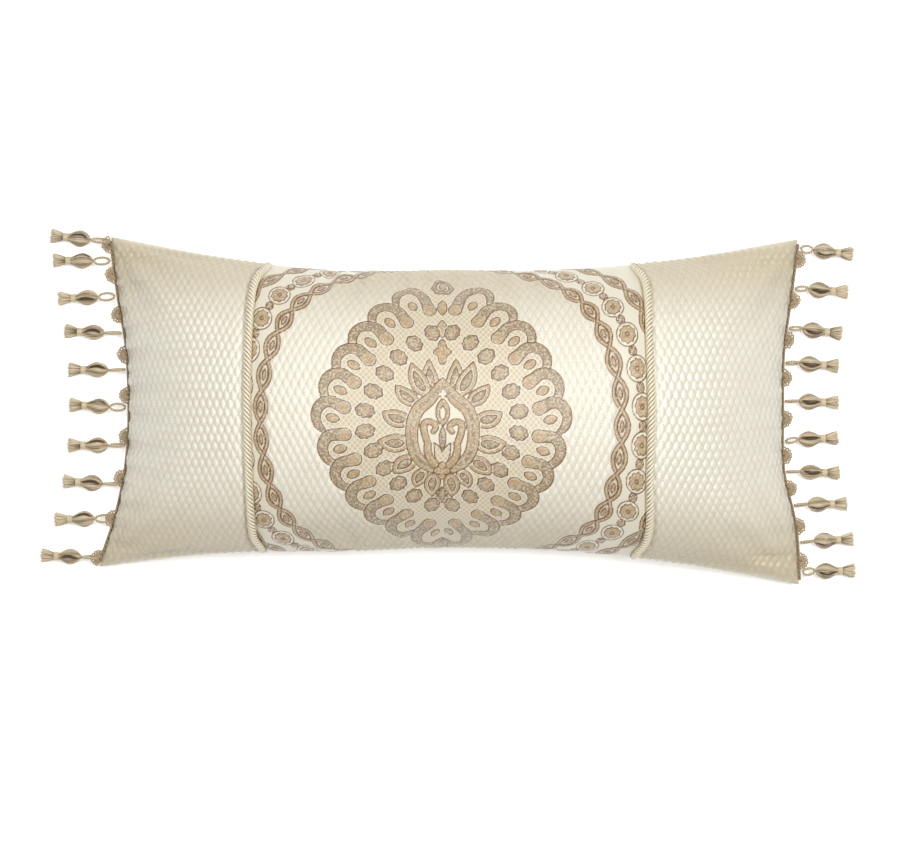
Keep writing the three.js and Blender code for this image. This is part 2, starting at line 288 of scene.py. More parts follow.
class Cloth:
    """A Principled material and the few node recipes that every cloth here is made of."""

    def __init__(self, name, roughness, sheen=0.0, specular=0.5):
        self.material = bpy.data.materials.new(name)
        self.material.use_nodes = True
        self.nodes = self.material.node_tree.nodes
        self.links = self.material.node_tree.links
        self.shader = self.nodes["Principled BSDF"]
        self.shader.inputs["Roughness"].default_value = roughness
        self.shader.inputs["Sheen Weight"].default_value = sheen
        self.shader.inputs["Specular IOR Level"].default_value = specular

    def value(self, name):
        """A mesh attribute's value."""
        node = self.nodes.new("ShaderNodeAttribute")
        node.attribute_name = name
        return node.outputs["Fac"]

    def math(self, operation, *terms):
        node = self.nodes.new("ShaderNodeMath")
        node.operation = operation
        for socket, term in zip(node.inputs, terms):
            self.feed(socket, term)
        return node.outputs[0]

    def feed(self, socket, term):
        if isinstance(term, bpy.types.NodeSocket):
            self.links.new(term, socket)
        else:
            socket.default_value = term

    def ramp(self, value, low, high):
        """0 below low, 1 above high, smooth between."""
        node = self.nodes.new("ShaderNodeMapRange")
        node.interpolation_type = "SMOOTHSTEP"
        self.feed(node.inputs["Value"], value)
        node.inputs["From Min"].default_value = low
        node.inputs["From Max"].default_value = high
        return node.outputs["Result"]

    def blend(self, share, first, second):
        node = self.nodes.new("ShaderNodeMix")
        node.data_type = "RGBA"
        self.feed(node.inputs["Factor"], share)
        self.feed(node.inputs["A"], first)
        self.feed(node.inputs["B"], second)
        return node.outputs["Result"]

    def noise(self, scale, detail=2.0):
        node = self.nodes.new("ShaderNodeTexNoise")
        place = self.nodes.new("ShaderNodeTexCoord")
        self.links.new(place.outputs["Object"], node.inputs["Vector"])
        node.inputs["Scale"].default_value = scale
        node.inputs["Detail"].default_value = detail
        return node.outputs["Fac"]

    def colour(self, colour):
        self.feed(self.shader.inputs["Base Color"], colour)

    def bump(self, height, distance, strength=1.0):
        node = self.nodes.new("ShaderNodeBump")
        node.inputs["Distance"].default_value = distance * MM
        node.inputs["Strength"].default_value = strength
        self.links.new(height, node.inputs["Height"])
        self.links.new(node.outputs["Normal"], self.shader.inputs["Normal"])


IVORY = srgb(232, 228, 214)
# Painted shade: the satin's darker, warmer colour towards the long seams, where the cover curves away from
# the light, and the distances from the middle (mm) over which it sets in.
IVORY_RIM_SHADE = srgb(202, 190, 163)
RIM_SHADE_SPAN = (48, 124)
# A deeper ivory, for random mottling and for the painted shade in the stitched lines.
IVORY_MOTTLE_AND_SHADE = srgb(190, 177, 146)
PLAIN_IVORY = srgb(220, 213, 193)
TAN_LIGHT = srgb(200, 184, 155)
GOLD = srgb(174, 146, 108)
TAUPE = srgb(148, 128, 102)
OUTLINE = srgb(116, 84, 54)
CORD_LIGHT, CORD_SHADOW = srgb(232, 222, 194), srgb(112, 90, 54)
FLOSS_LIGHT, FLOSS_SHADOW = srgb(204, 187, 154), srgb(84, 64, 40)
GIMP_LIGHT, GIMP_SHADOW = srgb(170, 148, 114), srgb(76, 56, 36)
TICKING = srgb(222, 216, 202)
BACKING = srgb(222, 214, 194)
FIBRE = srgb(240, 238, 232)
# Noise scales, per metre.
MOTTLE_SCALE, SPECKLE_SCALE, WEAVE_SCALE, FIBRE_SCALE = 70, 650, 900, 1600
PLAIN_MOTTLE_SCALE, PLAIN_WEAVE_SCALE = 60, 1500
# Random mottling of the satin and the plain cloths, and how strong the painted shade in the stitched lines
# is.
MOTTLING, PLAIN_MOTTLING, STITCH_SHADE_STRENGTH = 0.3, 0.4, 0.75
SPECKLE_BAND, BREAK_BAND, LATTICE_BAND = (0.42, 0.66), (0.2, 0.5), (0.15, 0.4)
THREAD, THREAD_HEIGHT, SATIN_BUMP, PLAIN_BUMP = 0.5, 0.25, 0.08, 0.1
LATTICE = (4.0, 4.4)
EDGE_SOFT, RAGGED = 0.25, 0.9
LINE_CORE, LINE_EDGE = 0.3, 0.65
YARN_BAND, YARN_FIBRES, YARN_BUMP, YARN_SHEEN = (0.3, 1.0), 0.3, 0.15, 0.2


def floating_threads(cloth):
    """Height of the satin's long threads, crossed by a little unevenness."""
    turns = cloth.math("MULTIPLY", cloth.value("cloth_t"), 2 * math.pi / THREAD)
    threads = cloth.math("MULTIPLY", cloth.math("SINE", turns), THREAD_HEIGHT)
    return cloth.math("ADD", threads, cloth.noise(WEAVE_SCALE))


def satin_colour(cloth):
    """Ivory with painted shade: darker and warmer towards the long seams, where the cover curves away from
    the light, and darker in the stitched lines; deeper here and there at random.
    """
    # Painted shade towards the long seams, where the cover curves away from the light.
    rim_shade = cloth.ramp(cloth.math("ABSOLUTE", cloth.value("cloth_t")), *RIM_SHADE_SPAN)
    ivory = cloth.blend(rim_shade, IVORY, IVORY_RIM_SHADE)
    mottled = cloth.blend(cloth.math("MULTIPLY", cloth.noise(MOTTLE_SCALE), MOTTLING), ivory, IVORY_MOTTLE_AND_SHADE)
    # Painted shade in the stitched lines between the puffs.
    return cloth.blend(cloth.math("MULTIPLY", cloth.value("groove"), STITCH_SHADE_STRENGTH), mottled, IVORY_MOTTLE_AND_SHADE)


def quilted_satin():
    cloth = Cloth("quilted_satin", 0.34, sheen=0.1, specular=1.0)
    cloth.colour(satin_colour(cloth))
    cloth.bump(floating_threads(cloth), SATIN_BUMP)
    return cloth.material


def lattice(cloth):
    """1 on the crossing lines of the woven ground, 0 inside its diamonds."""
    s = cloth.math("MULTIPLY", cloth.value("cloth_s"), math.pi / LATTICE[0])
    t = cloth.math("MULTIPLY", cloth.value("cloth_t"), math.pi / LATTICE[1])
    waves = [
        cloth.math("ABSOLUTE", cloth.math("SINE", cloth.math(way, s, t))) for way in ("ADD", "SUBTRACT")
    ]
    inside = cloth.ramp(cloth.math("MINIMUM", *waves), *LATTICE_BAND)
    return cloth.math("SUBTRACT", 1.0, inside)


def brocade():
    """Quilted satin with the pattern woven over it, as each colour's depth says."""
    cloth = Cloth("brocade", 0.42, sheen=0.1, specular=0.7)
    speckle = cloth.noise(SPECKLE_SCALE)
    light = cloth.ramp(speckle, *SPECKLE_BAND)
    thread = {
        "pale": PLAIN_IVORY,
        "ground": cloth.blend(lattice(cloth), TAN_LIGHT, PLAIN_IVORY),
        "gold": cloth.blend(light, GOLD, TAN_LIGHT),
        "taupe": cloth.blend(light, TAUPE, TAN_LIGHT),
    }
    colour = satin_colour(cloth)
    for name, woven in thread.items():
        ragged = cloth.math("MULTIPLY_ADD", speckle, RAGGED, cloth.value(name))
        inside = cloth.ramp(ragged, RAGGED / 2 - EDGE_SOFT, RAGGED / 2 + EDGE_SOFT)
        colour = cloth.blend(inside, colour, woven)
    drawn = cloth.math("SUBTRACT", 1.0, cloth.ramp(cloth.value("line"), LINE_CORE, LINE_EDGE))
    broken = cloth.math("MULTIPLY", drawn, cloth.ramp(speckle, *BREAK_BAND))
    cloth.colour(cloth.blend(broken, colour, OUTLINE))
    cloth.bump(floating_threads(cloth), SATIN_BUMP)
    return cloth.material


def plain_material(name, colour, roughness, sheen=0.0):
    cloth = Cloth(name, roughness, sheen)
    deeper = cloth.math("MULTIPLY", cloth.noise(PLAIN_MOTTLE_SCALE), PLAIN_MOTTLING)
    cloth.colour(cloth.blend(deeper, colour, IVORY_MOTTLE_AND_SHADE))
    cloth.bump(cloth.noise(PLAIN_WEAVE_SCALE), PLAIN_BUMP)
    return cloth.material


def yarn_material(name, light, shadow, roughness):
    """Silky yarn: its tone runs from the shadow between strands to the light on their backs."""
    cloth = Cloth(name, roughness, sheen=YARN_SHEEN)
    fibres = cloth.noise(FIBRE_SCALE)
    tone = cloth.math("ADD", cloth.value("tone"), cloth.math("MULTIPLY", fibres, YARN_FIBRES))
    cloth.colour(cloth.blend(cloth.ramp(tone, *YARN_BAND), shadow, light))
    cloth.bump(fibres, YARN_BUMP)
    return cloth.material


# ---- Woven pattern: distances in cloth millimetres from the edges of shapes, negative inside ----
FAR = 99.0
WOVEN = ("ground", "pale", "gold", "taupe")
PATTERN_WIDE, BORDER_WIDE = 1.08, 1.045
MEDALLION = (-4.6, -9.0)
OVAL_POWER = 1.5
PER_SIDE = 12
FLORET_RING = (53, 66)
FLORET = (5.0, 6.3)
CANE_RING = (67, 86)
CANE_SPINE = ([0, -1, -2, 0, 5, 11, 16, 18.5], [0, 6, 12, 18, 22, 22, 18.5, 13.5])
CANE_RADII = [4.6, 4.0, 3.9, 3.9, 3.7, 3.3, 2.9, 2.0]
CANE_SHORT, CANE_STRETCH = 0.8, 0.72
CANE_KNOB_IN, CANE_KNOB_UP = 0.9, 0.5
DROP, DROP_PLACE = (3.0, 5.0), (9.0, 7.5)
FLORET_HEART = 0.45
GROUND_OVAL = (84, 114)
HALO = 1.0
PALM_LEVEL, PALM_WIDE, PALM_DOWN, PALM_UP = -8.5, 25, 29, 39
FLAMES = (
    (77, 54, 5.2, 1),
    (64, 55, 6.2, 1),
    (44, 47, 5.4, 1),
    (17, 43, 6.2, 1),
    (-11, 44, 6.6, 1),
    (-38, 44, 6.2, -1),
    (-62, 44, 5.0, -1),
    (-79, 48, 5.6, -1),
)
FLAME_ROOT, FLAME_HOOK, FLAME_PALE, FLAME_TAUPE = (1, 3), 3, 0.38, 0.52
# Bands of the palmette's rim, from its edge inward, and how far the pale heart fills it.
PALM_BANDS = (("taupe", 2.4), ("gold", 5.6))
HEART_TALL, HEART_WIDE = 0.74, 0.68
VOLUTE_RADII = (2.7, 1.7)
# The knot's lobes and the places of the almonds on the axis: level, half width, half height.
KNOT, KNOT_SIZE = ((0, -23), (0, -30.5), (3.1, -26.8)), 2.7
AXIS_ALMONDS = ((67, 3.6, 7.2), (86, 3.4, 7.5))
END_MOTIFS = (110, -116)
BORDER, BORDER_TALL = (-6.0, -11.0), 1.17
CHAIN_INNER = {"radius": 130, "links": 43, "wide": 5.0}
CHAIN_OUTER = {"radius": 163.5, "links": 48, "wide": 4.6}
RIBBON = 1.2
ROSETTES = {"radius": 146, "count": 41, "start": math.radians(4.5)}
ROSETTE_RIM, ROSETTE_HEART, BEAD = 8.0, 5.7, 3.0
ROSETTE_EYE, ROSETTE_PISTIL, SPOKE_HALF = 1.4, 0.86, 0.55


def oval(x, y, half_x, half_y, lobes=0, depth=0.0):
    edge = 1 + depth * np.cos(lobes * np.arctan2(y, x))
    return (np.hypot(x / half_x, y / half_y) - edge) * min(half_x, half_y)


def almond(x, y, half_x, half_y):
    """Two arcs that meet in points at the ends of the longer way, y."""
    radius = (half_x**2 + half_y**2) / (2 * half_x)
    return np.hypot(np.abs(x) + radius - half_x, y) - radius


def stroke(x, y, spine, radii):
    """A soft brush drawn along a spine."""
    return np.min([np.hypot(x - a, y - b) - r for (a, b), r in zip(spine, radii)], axis=0)


def bow(start, middle, end, count=15):
    """A spine that sets out for middle and arrives at end."""
    share = np.linspace(0, 1, count)[:, None]
    start, middle, end = (np.array(p, float) for p in (start, middle, end))
    return (1 - share) ** 2 * start + 2 * share * (1 - share) * middle + share**2 * end


def leaf(x, y, spine, width):
    """A leaf along a spine, round at its base and pointed at its tip."""
    share = np.linspace(0, 1, len(spine))
    return stroke(x, y, spine, width * np.sin(np.pi * share**0.65) ** 0.9 - 0.2 * share)


def profile(x, y, heights, widths):
    """A shape as wide on each side of the axis as widths say, from the lowest height to the highest."""
    x = np.abs(x)
    gap = np.full(x.shape, FAR)
    for k in range(len(heights) - 1):
        start = np.array([widths[k], heights[k]])
        line = np.array([widths[k + 1], heights[k + 1]]) - start
        share = ((x - start[0]) * line[0] + (y - start[1]) * line[1]) / max(line @ line, TINY)
        share = np.clip(share, 0, 1)
        off_x, off_y = x - start[0] - share * line[0], y - start[1] - share * line[1]
        gap = np.minimum(gap, np.hypot(off_x, off_y))
    inside = x < np.interp(y, heights, widths, left=0, right=0)
    return np.where(inside, -gap, gap)


class Weave:
    """The colours woven over a grid of cloth points; the last one painted is on top."""

    def __init__(self, shape):
        self.depth = {colour: np.full(shape, -FAR) for colour in WOVEN}
        self.line = np.full(shape, FAR)

    def paint(self, colour, edge, lined=True):
        for other, depth in self.depth.items():
            self.depth[other] = np.maximum(depth, -edge) if other == colour else np.minimum(depth, edge)
        self.line = np.maximum(self.line, -edge)
        if lined:
            self.line = np.minimum(self.line, np.abs(edge))

    def haloed(self, colour, edge):
        self.paint("pale", edge - HALO, lined=False)
        self.paint(colour, edge)

    def values(self):
        return {**self.depth, "line": self.line}


def oval_stations(half_x, half_y, count=PER_SIDE):
    """Even places from top to bottom of a pointed oval's right side, and the ways onward and outward."""
    turn = np.linspace(0, math.pi, 721)
    x = half_x * np.abs(np.sin(turn)) ** (2 / OVAL_POWER)
    y = half_y * np.sign(np.cos(turn)) * np.abs(np.cos(turn)) ** (2 / OVAL_POWER)
    length = np.concatenate([[0], np.cumsum(np.hypot(np.diff(x), np.diff(y)))])
    spots = (np.arange(count) + 0.5) / count * length[-1]
    place, onward = (
        np.stack([np.interp(spots + step, length, x), np.interp(spots + step, length, y)], -1)
        for step in (0, 1)
    )
    onward = onward - place
    return [((a, b), (c, d), (-d, c)) for (a, b), (c, d) in zip(place, onward)]


def turned(x, y, place, first, second):
    """Coordinates along two directions from a place."""
    x, y = x - place[0], y - place[1]
    return x * first[0] + y * first[1], x * second[0] + y * second[1]


def canes(weave, x, y):
    """A scalloped ring of hooked stems; every stem shelters a drop."""
    share = np.linspace(-1, 1, 22)
    spine_a, spine_b = (along(stops, share) for stops in CANE_SPINE)
    radii = along(CANE_RADII, share)
    for place, onward, outward in oval_stations(*CANE_RING):
        a, b = turned(x, y, place, onward, outward)
        reach = CANE_SHORT + CANE_STRETCH * outward[1] ** 4
        weave.haloed("taupe", stroke(a, b, np.stack([spine_a, spine_b * reach], -1), radii))
        knob = oval(a, b - CANE_KNOB_UP, CANE_RADII[0] - CANE_KNOB_IN, CANE_RADII[0])
        weave.paint("gold", knob, lined=False)
        weave.haloed("gold", almond(a - DROP_PLACE[0], b - DROP_PLACE[1] * reach, *DROP))


def florets(weave, x, y):
    for place, onward, outward in oval_stations(*FLORET_RING):
        a, b = turned(x, y, place, onward, outward)
        weave.haloed("taupe", oval(a, b, *FLORET, lobes=8, depth=0.06))
        weave.paint("gold", oval(a, b, *(half * FLORET_HEART for half in FLORET)), lined=False)


def flames(weave, x, y):
    """Leaves that lick outward from round the palmette, hooked towards its nearer end."""
    for angle, reach, width, hook in FLAMES:
        angle = math.radians(angle)
        outward = np.array([math.cos(angle), math.sin(angle)])
        side = np.array([-outward[1], outward[0]]) * hook
        middle = np.array([0, PALM_LEVEL])
        root = middle + outward * [PALM_WIDE + FLAME_ROOT[0], PALM_DOWN + FLAME_ROOT[1]]
        tip = middle + outward * reach + side * FLAME_HOOK
        spine = bow(root, (root + tip) / 2 - side * FLAME_HOOK, tip)
        edge = leaf(x, y, spine, width)
        weave.haloed("gold", edge)
        weave.paint("pale", edge + width * FLAME_PALE, lined=False)
        weave.paint("taupe", edge + width * FLAME_TAUPE)


def palm_half_width(share_up, share_down):
    """Half the palmette's width, as a share, over its shoulders and round its foot."""
    hollow = 0.12 * np.sin(np.pi * smoothstep(0.5, 1, share_up))
    return np.minimum(1 - share_up**2.4 - hollow, (1 - share_down**2.3) ** (1 / 2.3))


VOLUTE_BOWS = (
    ((2, -24), (11.5, -19), (10, -7)),
    ((10, -7), (17, 11), (7.5, 8)),
    ((7.5, 8), (2.5, 5), (6.5, 1.5)),
)
VOLUTE = np.concatenate([bow(*points) for points in VOLUTE_BOWS])
HEART_LEAF = bow((1.4, -21), (2.2, -12), (6.0, -6))


def palmette(weave, x, y):
    """A gold and taupe ogee that holds a pale heart, two volutes, a bud and a knot."""
    y = y - PALM_LEVEL
    heights = np.concatenate([np.linspace(-1, -0.9, 8)[:-1], np.linspace(-0.9, 1, 46)])
    shares = palm_half_width(np.maximum(heights, 0), np.maximum(-heights, 0))
    rise = np.where(heights > 0, heights * PALM_UP, heights * PALM_DOWN)
    body = profile(x, y, rise, shares * PALM_WIDE)
    weave.haloed("gold", body)
    for colour, inset in PALM_BANDS:
        weave.paint(colour, body + inset, lined=False)
    weave.paint("pale", profile(x, y + 1, rise * HEART_TALL, shares * PALM_WIDE * HEART_WIDE))
    side = np.abs(x)
    weave.paint("gold", stroke(side, y, VOLUTE, np.linspace(*VOLUTE_RADII, len(VOLUTE))))
    weave.paint("ground", leaf(side, y, HEART_LEAF, 2.9))
    weave.paint("taupe", almond(x, y + 3, 2.4, 8.5))
    weave.paint("gold", almond(x, y - 15, 4.9, 9.5))
    weave.paint("pale", almond(x, y - 14.5, 2.1, 5.2))
    weave.paint("pale", oval(x, y - 27.5, 2.6, 2.6, lobes=4, depth=0.35))
    for across, up in KNOT:
        weave.paint("gold", oval(side - across, y - up, KNOT_SIZE, KNOT_SIZE))
    weave.paint("gold", oval(x, y + 26.8, 2.6, 2.6), lined=False)


def axis_motifs(weave, x, y):
    """The single motifs on the medallion's axis."""
    side = np.abs(x)
    weave.haloed("gold", oval(x, y - 49, 5.2, 7.4, lobes=4, depth=0.24))
    for level, half_x, half_y in AXIS_ALMONDS:
        weave.haloed("gold", almond(x, y - level, half_x, half_y))
    lobe = leaf(side, y, bow((0, -60), (7, -58), (4, -52)), 3)
    weave.haloed("taupe", np.minimum(lobe, almond(x, y + 54, 2.4, 6)))
    for level in END_MOTIFS:
        weave.haloed("taupe", oval(x, y - level, 8, 9.5, lobes=6, depth=0.06))
        weave.paint("ground", oval(x, y - level, 4.8, 6.2))
        weave.haloed("gold", almond(x, y - level, 2.6, 5))


def folded(x, y, start, count, radius):
    """Coordinates along and across a circle from the nearest of count even places on it."""
    step = 2 * math.pi / count
    angle = (np.arctan2(y, x) - start + step / 2) % step - step / 2
    return angle * radius, np.hypot(x, y) - radius


def chain(weave, x, y, radius, links, wide):
    """Two gold ribbons that cross between almonds."""
    a, b = folded(x, y, 0, links, radius)
    pitch = 2 * math.pi * radius / links
    swing = wide * np.cos(math.pi * a / pitch)
    lean = 1 / np.hypot(1, math.pi * wide / pitch * np.sin(math.pi * a / pitch))
    weave.paint("pale", almond(b, a, wide, pitch * 0.5), lined=False)
    for edge in (-1, 1):
        weave.haloed("gold", np.abs(b - edge * swing) * lean - RIBBON)
    for colour, size in (("ground", 0.62), ("gold", 0.3)):
        weave.paint(colour, almond(b, a, wide * size, pitch * size * 0.6))


def rosettes(weave, x, y):
    a, b = folded(x, y, ROSETTES["start"], ROSETTES["count"], ROSETTES["radius"])
    pitch = 2 * math.pi * ROSETTES["radius"] / ROSETTES["count"]
    bead = np.hypot(np.abs(a) - pitch / 2, b) - BEAD
    weave.paint("pale", np.minimum(np.hypot(a, b) - ROSETTE_RIM, bead))
    weave.paint("gold", np.abs(np.abs(a) - pitch / 2) + np.abs(b) - BEAD * 0.75)
    weave.paint("gold", oval(a, b, ROSETTE_HEART, ROSETTE_HEART, lobes=9, depth=0.07))
    spokes = np.hypot(a, b) * np.abs(np.sin(2.5 * np.arctan2(b, a))) - SPOKE_HALF
    pistil = np.maximum(spokes, np.hypot(a, b) - ROSETTE_HEART * ROSETTE_PISTIL)
    weave.paint("taupe", pistil, lined=False)
    weave.paint("taupe", np.hypot(a, b) - ROSETTE_EYE)


def woven_pattern(s, t):
    """The medallion and the ringed border over cloth points."""
    weave = Weave(s.shape)
    x, y = (s - BORDER[0]) / BORDER_WIDE, (t - BORDER[1]) / BORDER_TALL
    weave.paint("pale", CHAIN_INNER["radius"] - np.hypot(x, y), lined=False)
    chain(weave, x, y, **CHAIN_OUTER)
    rosettes(weave, x, y)
    chain(weave, x, y, **CHAIN_INNER)
    x, y = np.abs(s - MEDALLION[0]) / PATTERN_WIDE, t - MEDALLION[1]
    oval_edge = (x / GROUND_OVAL[0]) ** OVAL_POWER + (np.abs(y) / GROUND_OVAL[1]) ** OVAL_POWER
    weave.paint("ground", (oval_edge ** (1 / OVAL_POWER) - 1) * GROUND_OVAL[0], lined=False)
    canes(weave, x, y)
    axis_motifs(weave, x, y)
    florets(weave, x, y)
    flames(weave, x, y)
    palmette(weave, x, y)
    return weave.values()


# ---- Cover ----
QUILT_WIDE, QUILT_TALL = 6.3, 11.8
QUILT_PUFF = 1.2
QUILT_WANDER = 1.2
STITCH_WIDTH = 0.22
WOVEN_LIFT = 0.45
SEAM_FADE = 3.0
CORD_VALLEY, CORD_VALLEY_WIDTH, VALLEY_END = 1.6, 7.0, 12
FOLD_HEIGHT, FOLDS_ROUND, FOLD_AT, FOLD_REACH = 1.0, 15, 60, 34
PANEL_GAP = 0.8
PANEL_STEP, QUICK_STEP = 0.9, 1.9
BACK_STEPS = (225, 113)


def quilting(s, t):
    """Height (0..1) of the puffed lozenges, and how much of a point is in a stitched line, which gets
    painted shade.
    """
    across = (s + QUILT_WANDER * np.sin(t / 19 + np.sin(s / 37))) / QUILT_WIDE
    up = (t + QUILT_WANDER * np.sin(s / 23 + np.sin(t / 29))) / QUILT_TALL
    p = np.abs(np.sin(np.pi * (across + up)))
    q = np.abs(np.sin(np.pi * (across - up)))
    return np.sqrt(p * q), 1 - smoothstep(0.0, STITCH_WIDTH, np.minimum(p, q))


def corner_folds(s, t):
    """Soft creases that fan out of the four corners."""
    s, t = HALF[0] - np.abs(s), HALF[1] - np.abs(t)
    fade = np.exp(-(((np.hypot(s, t) - FOLD_AT) / FOLD_REACH) ** 2))
    return FOLD_HEIGHT * fade * np.sin(FOLDS_ROUND * np.arctan2(t, s + 1) + s / 40)


def relief(s, t, woven):
    """How far the cloth stands off its settled form, and how much of a point is in a stitched line, which
    gets painted shade.
    """
    puff, groove = quilting(s, t)
    to_seam = np.minimum(HALF[1] - np.abs(t), HALF[0] - np.abs(s))
    to_cord = np.abs(np.abs(s) - SEAM_U * HALF[0])
    open_cloth = smoothstep(0, SEAM_FADE, to_seam) * smoothstep(0, SEAM_FADE, to_cord)
    lift = 0
    if woven:
        covered = np.max([woven[colour] for colour in WOVEN], axis=0)
        open_cloth = open_cloth * smoothstep(1, -1, covered)
        lift = WOVEN_LIFT * smoothstep(-0.3, 1.2, np.maximum(woven["gold"], woven["taupe"]))
        lift = lift - WOVEN_LIFT / 2 * smoothstep(1, 0, woven["line"])
    off_seam = smoothstep(0, VALLEY_END, to_seam)
    valley = CORD_VALLEY * np.exp(-((to_cord / CORD_VALLEY_WIDTH) ** 2)) * off_seam
    broad = corner_folds(s, t) * off_seam * smoothstep(0, VALLEY_END, to_cord)
    return QUILT_PUFF * puff * open_cloth + lift + broad - valley, groove * open_cloth


def front_panel(name, low_u, high_u, material, slot, patterned=False):
    step = PANEL_STEP
    us = np.linspace(low_u, high_u, int((high_u - low_u) * HALF[0] / step) + 1)
    vs = np.linspace(-1, 1, int(FLAT[1] / step) + 1)
    points = surface(FRONT, us, vs)
    s, t = np.meshgrid(us * HALF[0], vs * HALF[1])
    woven = woven_pattern(s, t) if patterned else {}
    lift, groove = relief(s, t, woven)
    points = points + grid_normals(points) * lift[..., None]
    values = {"cloth_s": s, "cloth_t": t, "groove": groove, **woven}
    mesh = new_mesh(name, points.reshape(-1, 3), grid_faces(*s.shape), values)
    made = piece(name, mesh, material, slot, PILLOW, "front_" + name)


def cover():
    gap = PANEL_GAP / HALF[0]
    satin = quilted_satin()
    front_panel("centre_panel", -SEAM_U + gap, SEAM_U - gap, brocade(), "embroidered_cloth", patterned=True)
    front_panel("left_panel", -1, -SEAM_U - gap, satin, "quilted_satin")
    front_panel("right_panel", SEAM_U + gap, 1, satin, "quilted_satin")
    points = surface(BACK, *(np.linspace(-1, 1, count) for count in BACK_STEPS))
    points[..., 2] = np.maximum(points[..., 2], 0)
    mesh = new_mesh("backing", points.reshape(-1, 3), grid_faces(*points.shape[:2], flip=True))
    cloth = plain_material("backing_satin", BACKING, 0.5)
    piece("backing", mesh, cloth, "plain_satin", PILLOW, "back_panel")


# ---- Pad inside the cover ----
PAD_STEPS = (121, 61)
PAD_MARGIN = 9
TICKING_INSET, FILLING_INSET = 5.5, 6.6
PAD_EDGE_POWER = 8


def pad_faces(inset):
    """The upper and lower side of a pad, an inset inside the settled cover and closed at its rim."""
    shares = [np.linspace(-1, 1, count) for count in PAD_STEPS]
    us, vs = (share * (1 - (PAD_MARGIN + inset) / half) for share, half in zip(shares, HALF))
    upper, lower = surface(FRONT, us, vs), surface(BACK, us, vs)
    middle, half = (upper + lower) / 2, (upper - lower) / 2
    thick = np.linalg.norm(half, axis=-1, keepdims=True)
    across, up = np.meshgrid(*shares)
    rim = 1 - np.maximum(np.abs(across), np.abs(up)) ** PAD_EDGE_POWER
    half = half * np.maximum(0, 1 - inset / np.maximum(thick, TINY)) * np.sqrt(rim)[..., None]
    return middle + half, middle - half


def pad():
    ticking = plain_material("ticking_cotton", TICKING, 0.9)
    rows, columns = PAD_STEPS[1], PAD_STEPS[0]
    upper, lower = (side.reshape(-1, 3) for side in pad_faces(TICKING_INSET))
    for name, side, flip in (("front_ticking", upper, False), ("back_ticking", lower, True)):
        mesh = new_mesh("pad_" + name, side, grid_faces(rows, columns, flip))
        piece("pad_" + name, mesh, ticking, "ticking", PILLOW, "insert_" + name)
    upper, lower = (side.reshape(-1, 3) for side in pad_faces(FILLING_INSET))
    faces = np.concatenate([grid_faces(rows, columns), grid_faces(rows, columns, True) + len(upper)])
    mesh = new_mesh("pad_filling", np.concatenate([upper, lower]), faces)
    fibre = plain_material("fibre", FIBRE, 1.0)
    piece("pad_filling", mesh, fibre, "fibre", PILLOW, "fibre_filling")


# ---- Yarn ----
class Bundle:
    """Tubes and tufts gathered for one mesh, with the tone of every point."""

    def __init__(self):
        self.points, self.faces, self.tones, self.count = [], [], [], 0

    def add(self, rings, tone):
        """Closes a stack of rings, (ring, side, 3), into a skin."""
        stack, sides = rings.shape[:2]
        self.points.append(rings.reshape(-1, 3))
        self.tones.append(np.broadcast_to(tone, (stack, sides)).ravel())
        index = np.arange(stack * sides).reshape(stack, sides)
        onward = np.roll(index, -1, axis=1)
        walls = np.stack([index[:-1], onward[:-1], onward[1:], index[1:]], -1).reshape(-1, 4)
        fan = [(0, i, i + 1, i + 2) for i in range(1, sides - 2, 2)]
        lids = [index[0][::-1][list(f)] for f in fan] + [index[-1][list(f)] for f in fan]
        self.faces.append(np.concatenate([walls, lids]) + self.count)
        self.count += stack * sides

    def mesh(self, name):
        values = {"tone": np.concatenate(self.tones)}
        return new_mesh(name, np.concatenate(self.points), np.concatenate(self.faces), values)


def unit(vectors):
    return vectors / np.maximum(np.linalg.norm(vectors, axis=-1, keepdims=True), TINY)


def travel(path):
    """Length along a path up to each of its points."""
    return np.concatenate([[0], np.cumsum(np.linalg.norm(np.diff(path, axis=0), axis=1))])


def even(path, step):
    """The same path with points a step apart."""
    length = travel(path)
    spots = np.linspace(0, length[-1], max(4, int(length[-1] / step) + 1))
    return np.stack([np.interp(spots, length, path[:, k]) for k in range(3)], -1)


def path_frame(path, up):
    """The ways across and above a path, where up says roughly what above is."""
    tangent = unit(np.gradient(path, axis=0))
    across = unit(np.cross(tangent, up))
    return across, np.cross(across, tangent)


def tube(bundle, path, radius, up, sides=6, tone=1.0):
    """A yarn with rounded ends."""
    across, above = path_frame(path, up)
    count = len(path)
    from_end = np.minimum(np.arange(count), count - 1 - np.arange(count))
    radius = radius * np.clip(from_end / 2 + 0.15, 0, 1) ** 0.5
    turn = np.arange(sides) * 2 * math.pi / sides
    rings = np.cos(turn)[:, None] * across[:, None] - np.sin(turn)[:, None] * above[:, None]
    bundle.add(path[:, None] + rings * radius[:, None, None], tone)


STRAND_SHARE = {2: 0.54, 5: 0.38}
# How sharply the painted shade between strands sets in.
STRAND_SHADE_POWER = {2: 1, 5: 3}


